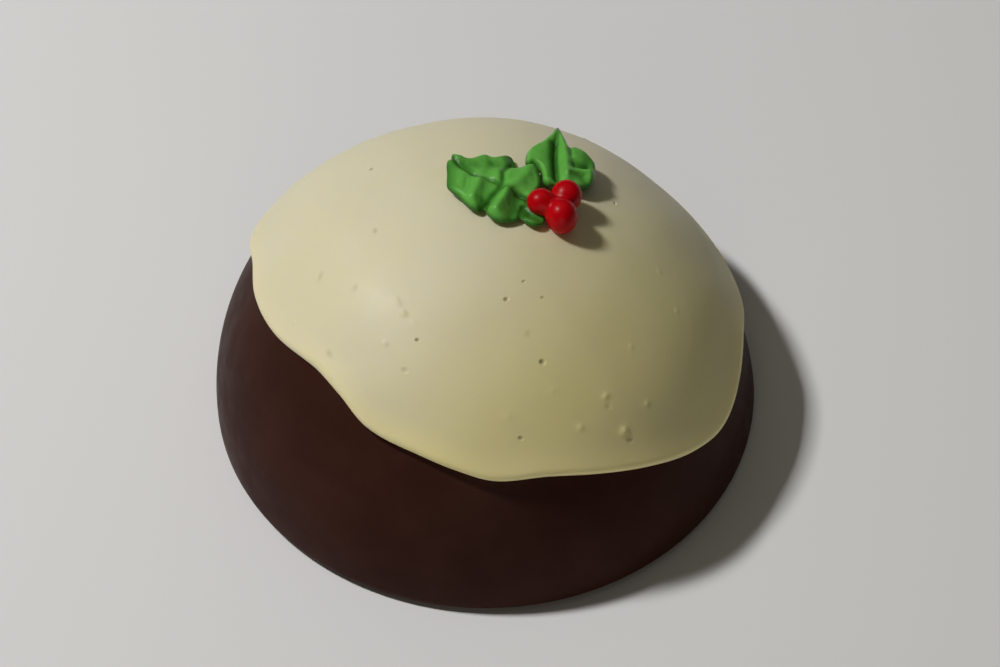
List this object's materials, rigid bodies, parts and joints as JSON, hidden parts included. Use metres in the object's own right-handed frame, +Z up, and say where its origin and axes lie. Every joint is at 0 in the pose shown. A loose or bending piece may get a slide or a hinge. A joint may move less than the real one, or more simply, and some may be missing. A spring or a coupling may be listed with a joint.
{
  "type": "christmas pudding",
  "caption": "Dome-shaped pudding coated in dark chocolate, with poured white icing and a sprig of sugar holly leaves and berries on top.",
  "frame": {"origin": "centre of the flat base, on the surface it rests on", "axes": "+Z up through the top of the dome, -Y towards the front where the icing dips lowest in the middle, +X to the right where the icing runs furthest down"},
  "size_m": [0.1504, 0.1508, 0.0813],
  "materials": {
    "dark_chocolate": "satin dark chocolate",
    "white_icing": "smooth creamy white icing with a soft sheen",
    "green_sugar": "smooth green sugar with a soft gloss",
    "red_sugar": "smooth red sugar with a soft gloss"
  },
  "bodies": {
    "root": {"pudding": "dark_chocolate", "icing": "white_icing", "leaf_left": "green_sugar", "leaf_right": "green_sugar", "berry_left": "red_sugar", "berry_back": "red_sugar", "berry_front": "red_sugar"}
  },
  "joints": []
}
